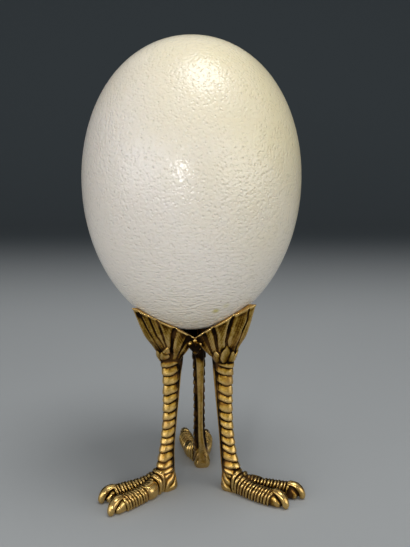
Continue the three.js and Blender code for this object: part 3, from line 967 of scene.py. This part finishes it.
def shell_material(settings):
    """Old eggshell: cream, satin, finely wrinkled, with a few stains."""
    material, tree, shader = new_material("Eggshell")
    place = tree.add("ShaderNodeTexCoord").outputs["Object"]
    split = tree.split(place)
    drift = tree.math("MULTIPLY_ADD", tree.noise(place, 28.0, 3.0), 0.08, split["Z"])
    drift = tree.math("MULTIPLY_ADD", split["X"], 1.25, drift)
    colour = blend(tree, tree.remap(drift, 0.19, 0.302), settings.shell_colour, settings.warm_colour)
    foot = tree.remap(split["Z"], 0.125, 0.095, to_high=0.7)
    colour = blend(tree, foot, colour, (0.86, 0.77, 0.60))
    speckle = tree.remap(tree.noise(place, 900.0, 2.0, 0.6), 0.62, 0.78, to_high=0.22)
    colour = blend(tree, speckle, colour, (0.52, 0.46, 0.34))
    for centre, radius, tint, strength in STAINS:
        stain = tree.math("MULTIPLY", spot(tree, place, centre, radius), strength)
        colour = blend(tree, stain, colour, tint)
    tree.feed(shader.inputs["Base Color"], colour)
    gloss = tree.math("MULTIPLY_ADD", tree.noise(place, 420.0), 0.12, settings.shell_roughness - 0.06)
    tree.feed(shader.inputs["Roughness"], gloss)
    shader.inputs["Subsurface Weight"].default_value = 0.12
    shader.inputs["Subsurface Radius"].default_value = (0.004, 0.003, 0.002)
    shader.inputs["Subsurface Scale"].default_value = 1.0
    shader.inputs["Coat Weight"].default_value = 0.72
    shader.inputs["Coat Roughness"].default_value = 0.16
    shader.inputs["Coat IOR"].default_value = 1.6
    lower = tree.remap(split["Z"], 0.175, 0.11)
    fold = tree.vector("MULTIPLY", place, (0.6, 0.6, 1.5))
    peel = tree.noise(place, 640.0, 1.0, 0.4)
    folds = tree.noise(fold, 560.0, 1.0, 0.4)
    skin = tree.add("ShaderNodeMix", {"Factor": lower, "A": peel, "B": folds}).outputs[0]
    cells = tree.add("ShaderNodeTexVoronoi", {"Vector": place, "Scale": 540.0}, feature="F1")
    pores = tree.remap(cells.outputs["Distance"], 0.1, 0.42, -1.3, 0.0)
    folded = tree.math("MULTIPLY_ADD", lower, 0.9, 0.8)
    high = tree.math("MULTIPLY_ADD", tree.remap(skin, 0.3, 0.6), folded, pores)
    for socket, share in (("Normal", 1.0), ("Coat Normal", 0.52)):
        values = {"Height": high, "Strength": settings.skin_strength * share, "Distance": 0.00022}
        tree.feed(shader.inputs[socket], tree.add("ShaderNodeBump", values).outputs["Normal"])
    return material


def brass_material(settings):
    """Antique gilt brass: rubbed bright on ridges, brown between, black in hollows and where shade is
    painted.
    """
    material, tree, shader = new_material("Antique brass")
    place = tree.add("ShaderNodeTexCoord").outputs["Object"]
    # The stored values hold the patina in the hollows, old dirt and painted shade.
    hollow_dirt_and_shade = tree.add("ShaderNodeAttribute", attribute_name="hollow_dirt_and_shade").outputs["Fac"]
    broken = tree.math("SUBTRACT", tree.noise(place, 420.0, 3.0, 0.65), 0.47)
    level = tree.remap(tree.math("MULTIPLY_ADD", broken, 0.55, hollow_dirt_and_shade), -0.8, 0.8)
    colours = (settings.rubbed_colour, settings.brass_colour, (0.14, 0.060, 0.006), settings.patina_and_shade_colour)
    colour = ramp(tree, level, list(zip((0.26, 0.41, 0.51, 0.60), colours)))
    tarnish = tree.remap(tree.noise(place, 95.0), 0.5, 0.75, to_high=0.45)
    colour = blend(tree, tarnish, colour, (0.42, 0.20, 0.06))
    tree.feed(shader.inputs["Base Color"], colour)
    metal = ramp(tree, level, [(0.0, (1.0,) * 3), (0.58, (1.0,) * 3), (0.72, (0.7,) * 3)])
    tree.feed(shader.inputs["Metallic"], metal)
    rough = ramp(tree, level, [(0.25, (0.24,) * 3), (0.5, (0.33,) * 3), (0.7, (0.62,) * 3)])
    height = tree.split(place)["Z"]
    shank = tree.math("MULTIPLY", tree.remap(height, 0.012, 0.022), tree.remap(height, 0.082, 0.072))
    dull = tree.math("MULTIPLY_ADD", shank, 0.1, -0.07)
    rough = tree.math("MULTIPLY_ADD", tree.noise(place, 700.0), 0.14, tree.math("ADD", rough, dull))
    tree.feed(shader.inputs["Roughness"], rough)
    shader.inputs["Specular IOR Level"].default_value = 0.08
    cast = tree.noise(place, 1300.0, 3.0, 0.6)
    bump = tree.add("ShaderNodeBump", {"Height": cast, "Strength": 0.25, "Distance": 0.0002})
    tree.feed(shader.inputs["Normal"], bump.outputs["Normal"])
    return material


def floor_material(settings):
    material, tree, shader = new_material("Pale paper")
    place = tree.add("ShaderNodeTexCoord").outputs["Object"]
    # Painted shade: the paper darkens far behind.
    back = tree.remap(tree.split(place)["Y"], 0.35, 1.12, kind="SMOOTHSTEP")
    colour = blend(tree, back, settings.floor_colour, settings.backdrop_shade_colour)
    tree.feed(shader.inputs["Base Color"], colour)
    shader.inputs["Roughness"].default_value = 0.9
    return material


# -------------------------------------------------------------------- settings


class EggSettings(bpy.types.PropertyGroup):
    half_width: bpy.props.FloatProperty(
        name="Half width", description="Half of the egg's width",
        default=(EGG_HALF_WIDTH - SHELL_INSET) * MM, unit="LENGTH"
    )
    half_height: bpy.props.FloatProperty(
        name="Half height", description="Half of the egg's height",
        default=EGG_HALF_HEIGHT * MM, unit="LENGTH"
    )
    wrinkle_depth: bpy.props.FloatProperty(
        name="Wrinkle depth", description="Depth of the shell's wrinkles",
        default=0.0001, precision=5, unit="LENGTH"
    )
    wrinkle_spacing: bpy.props.FloatProperty(
        name="Wrinkle spacing", description="From one wrinkle to the next", default=0.0026, unit="LENGTH"
    )
    shell_colour: bpy.props.FloatVectorProperty(
        name="Shell", description="Colour of the shell",
        default=(0.85, 0.783, 0.695), subtype="COLOR", size=3
    )
    warm_colour: bpy.props.FloatVectorProperty(
        name="Upper shell", description="Its warmer colour higher up",
        default=(0.795, 0.705, 0.465), subtype="COLOR", size=3
    )
    shell_roughness: bpy.props.FloatProperty(
        name="Roughness", description="How dull the shell is", default=0.48, subtype="FACTOR"
    )
    skin_strength: bpy.props.FloatProperty(
        name="Fine skin", description="Strength of the finest wrinkles", default=0.9, subtype="FACTOR"
    )


class StandSettings(bpy.types.PropertyGroup):
    grain: bpy.props.FloatProperty(
        name="Mesh grain", description="Size of a face of the castings",
        default=0.00033, precision=5, unit="LENGTH"
    )
    plate_step: bpy.props.FloatProperty(
        name="Plate step", description="How far a shank plate stands out",
        default=0.0009, precision=5, unit="LENGTH"
    )
    ring_depth: bpy.props.FloatProperty(
        name="Ring depth", description="How far a toe's ring stands out",
        default=0.0008, precision=5, unit="LENGTH"
    )
    brass_colour: bpy.props.FloatVectorProperty(
        name="Brass", description="Colour of the aged brass",
        default=(0.40, 0.24, 0.038), subtype="COLOR", size=3
    )
    rubbed_colour: bpy.props.FloatVectorProperty(
        name="Rubbed", description="Colour of the rubbed ridges",
        default=(0.74, 0.50, 0.18), subtype="COLOR", size=3
    )
    # Used for the patina in the recesses and for painted shade.
    patina_and_shade_colour: bpy.props.FloatVectorProperty(
        name="Patina", description="Colour in the recesses",
        default=(0.010, 0.005, 0.002), subtype="COLOR", size=3
    )


class StudioSettings(bpy.types.PropertyGroup):
    floor_colour: bpy.props.FloatVectorProperty(
        name="Floor", description="Colour of the paper floor",
        default=(0.38, 0.396, 0.402), subtype="COLOR", size=3
    )
    # Painted shade of the paper far behind.
    backdrop_shade_colour: bpy.props.FloatVectorProperty(
        name="Backdrop", description="Colour of the paper far behind",
        default=(0.053, 0.066, 0.074), subtype="COLOR", size=3
    )
    overhead: bpy.props.FloatProperty(
        name="Overhead", description="Power of the overhead light", default=3.7, unit="POWER"
    )
    behind: bpy.props.FloatProperty(
        name="Behind", description="Power of the soft light high behind", default=0.9, unit="POWER"
    )
    front: bpy.props.FloatProperty(
        name="Front", description="Power of the broad lights at both sides of the front",
        default=18.6, unit="POWER"
    )
    window: bpy.props.FloatProperty(
        name="Window", description="Power of the small light beside the camera",
        default=0.9, unit="POWER"
    )


# ------------------------------------------------------------------- operators


class STAND_OT_egg(bpy.types.Operator):
    """Make the egg by its rule, wrinkled and stained"""

    bl_idname = "egg_stand.egg"
    bl_label = "Egg"

    def execute(self, context):
        settings = context.scene.egg_settings
        material = shell_material(settings)
        values = {
            "Half Width": settings.half_width,
            "Half Height": settings.half_height,
            "Wrinkle Depth": settings.wrinkle_depth,
            "Wrinkle Spacing": settings.wrinkle_spacing,
            "Lean": (0.0, EGG_LEAN, 0.0),
            "Middle": tuple(c * MM for c in EGG_MIDDLE),
            "Material": material,
        }
        mesh = run_tree(bpy.data.meshes.new("seed"), egg_tree(), values)
        mesh.shade_smooth()
        egg = add_object("eggshell", mesh, material)
        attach(egg, "root")
        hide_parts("egg")
        return {"FINISHED"}


class STAND_OT_legs(bpy.types.Operator):
    """Cast the three legs, each with its flare, shank, toes and claws, and braze them"""

    bl_idname = "egg_stand.legs"
    bl_label = "Legs"

    def execute(self, context):
        settings = context.scene.stand_settings
        material = brass_material(settings)
        plates = plates_tree()
        for name, leg in LEGS.items():
            casting = add_object("cast_" + name, leg_mesh(name, leg, settings, plates, material), material)
            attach(casting, "root")
            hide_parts(name)
        braze = add_object("braze", braze_mesh(settings, material), material)
        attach(braze, "root")
        return {"FINISHED"}


class STAND_OT_stage(bpy.types.Operator):
    """Set the floor, the lights and the camera"""

    bl_idname = "egg_stand.stage"
    bl_label = "Studio"

    def execute(self, context):
        settings = context.scene.studio_settings
        paper = add_object("paper_sweep", sweep_mesh(), floor_material(settings))
        area_light("overhead", (0.15, -0.2, 0.99), 0.14, (0.44, 0.44), settings.overhead)
        area_light("behind", (-0.05, 0.55, 0.85), 0.2, (0.9, 0.6), settings.behind)
        area_light("front_left", (-1.47, -1.315, 0.17), 0.15, (1.9, 1.6), settings.front)
        area_light("front_right", (1.6, -1.2, 0.23), 0.15, (1.9, 1.6), settings.front)
        area_light("window", (-0.13, -0.78, 0.25), 0.17, (0.08, 0.07), settings.window)
        world = bpy.data.worlds.new("Studio air")
        world.use_nodes = True
        air = world.node_tree.nodes["Background"].inputs
        air["Color"].default_value = (0.65, 0.665, 0.68, 1.0)
        air["Strength"].default_value = 0.46
        context.scene.world = world
        context.scene.view_settings.view_transform = "Standard"
        lens = bpy.data.cameras.new("camera")
        lens.lens, lens.sensor_width = 50.0, 36.0
        lens.clip_start, lens.clip_end = 0.01, 20.0
        camera = bpy.data.objects.new("camera", lens)
        context.scene.collection.objects.link(camera)
        camera.location = (0.0057, -0.4175, 0.2002)
        camera.rotation_euler = (math.radians(90 - 10.5), 0.0, 0.0)
        context.scene.camera = camera
        return {"FINISHED"}


def sweep_mesh():
    """A paper floor that runs level and then curves up far behind."""
    bend = np.linspace(0, math.pi / 2, 24)
    curve = [(1.2 + 0.8 * math.sin(a), 0.8 - 0.8 * math.cos(a)) for a in bend]
    line = np.array([(-3.0, 0.0), *curve, (2.0, 4.0)]) / MM
    sides = np.array([-9.0, 9.0]) / MM
    points = np.array([[(x, y, z) for x in sides] for y, z in line])
    mesh = mesh_from("paper", points.reshape(-1, 3), [grid_faces(len(line), 2, False)])
    mesh.shade_smooth()
    return mesh


def area_light(name, place, height, size, power):
    """A lit panel that faces the middle of the stage at some height."""
    light = bpy.data.lights.new(name, "AREA")
    light.shape = "RECTANGLE"
    light.size, light.size_y = size
    light.energy = power
    lamp = bpy.data.objects.new(name, light)
    bpy.context.scene.collection.objects.link(lamp)
    lamp.location = place
    lamp.rotation_euler = (Vector((0.0, 0.0, height)) - Vector(place)).to_track_quat("-Z", "Y").to_euler()


class STAND_PT_panel(bpy.types.Panel):
    """The pieces of the egg on its stand, and their sizes and colours"""

    bl_idname = "STAND_PT_panel"
    bl_label = "Egg stand"
    bl_space_type = "VIEW_3D"
    bl_region_type = "UI"
    bl_category = "Egg stand"

    def draw(self, context):
        for name, operator in zip(SETTINGS, (STAND_OT_egg, STAND_OT_legs, STAND_OT_stage)):
            group = getattr(context.scene, name)
            box = self.layout.box()
            for value in group.__annotations__:
                box.prop(group, value)
            box.operator(operator.bl_idname)


SETTINGS = {"egg_settings": EggSettings, "stand_settings": StandSettings, "studio_settings": StudioSettings}
CLASSES = (*SETTINGS.values(), STAND_OT_egg, STAND_OT_legs, STAND_OT_stage, STAND_PT_panel)


def register():
    for kind in CLASSES:
        bpy.utils.register_class(kind)
    for name, kind in SETTINGS.items():
        setattr(bpy.types.Scene, name, bpy.props.PointerProperty(type=kind))


def unregister():
    for name in SETTINGS:
        delattr(bpy.types.Scene, name)
    for kind in reversed(CLASSES):
        bpy.utils.unregister_class(kind)


def main():
    register()
    bpy.ops.egg_stand.egg()
    bpy.ops.egg_stand.legs()
    bpy.ops.egg_stand.stage()


if __name__ == "__main__":
    main()
